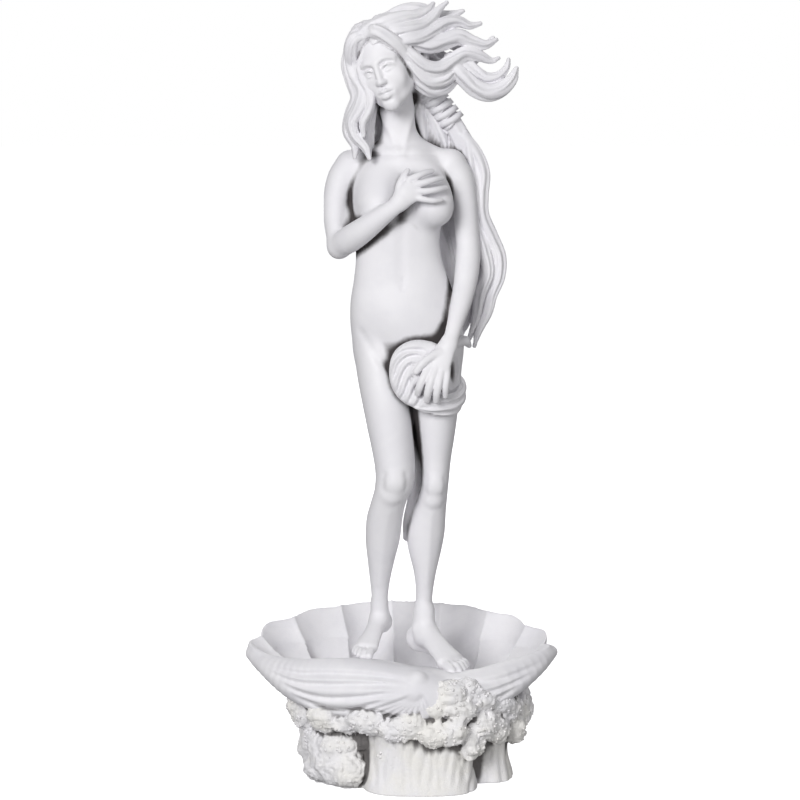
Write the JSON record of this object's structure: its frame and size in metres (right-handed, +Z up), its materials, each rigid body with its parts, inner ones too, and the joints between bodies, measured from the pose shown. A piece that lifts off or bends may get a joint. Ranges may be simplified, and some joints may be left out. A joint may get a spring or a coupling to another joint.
{
  "type": "aphrodite statue",
  "caption": "Cast marble statuette of Aphrodite standing on an open scallop shell over breaking waves, a hand on her breast and one holding gathered cloth.",
  "frame": {"origin": "middle of the flat underside, on the surface the statuette stands on", "axes": "+Z up through the head, -Y the way the figure faces, +X towards the figure's own left"},
  "size_m": [0.1229, 0.0866, 0.2994],
  "materials": {
    "cast_marble": "matte white cast marble with a faint cool grey tone"
  },
  "bodies": {
    "root": {"aphrodite_statue": "cast_marble"}
  },
  "joints": []
}
